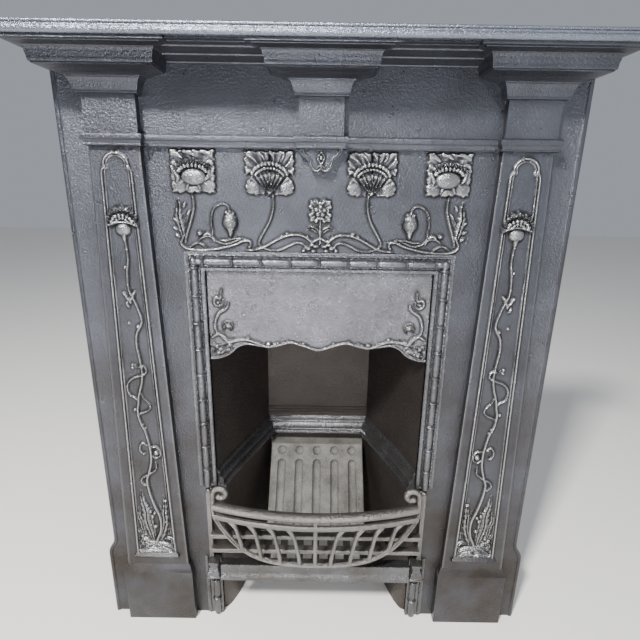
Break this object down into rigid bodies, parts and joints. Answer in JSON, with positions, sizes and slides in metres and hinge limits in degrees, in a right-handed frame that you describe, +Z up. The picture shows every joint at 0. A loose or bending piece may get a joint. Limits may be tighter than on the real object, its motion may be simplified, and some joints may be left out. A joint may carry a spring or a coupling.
{
  "type": "fireplace surround",
  "caption": "Cast-iron combination fireplace with tapering vine pilasters, poppy frieze, bead-framed opening, wavy canopy, bowed leaf basket and fluted fire brick.",
  "frame": {"origin": "middle of the bounding box's footprint, on the floor", "axes": "+Z up, +X to the viewer's right across the front, -Y towards the room (the front faces -Y)"},
  "size_m": [0.993, 0.3784, 1.238],
  "materials": {
    "surround_iron": "graphite polish, burnished on the high spots",
    "shelf_iron": "graphite polish",
    "canopy_iron": "graphite polish, lightly grained",
    "firebox_iron": "matt blacking",
    "fire_clay": "rough fired clay, blackened",
    "grate_iron": "satin graphite, worn"
  },
  "bodies": {
    "root": {"surround": "surround_iron", "mantel_shelf": "shelf_iron", "canopy": "canopy_iron", "firebox": "firebox_iron", "fire_brick": "fire_clay", "bottom_grate": "grate_iron", "front_bars": "grate_iron", "ash_rail": "surround_iron"}
  },
  "joints": []
}
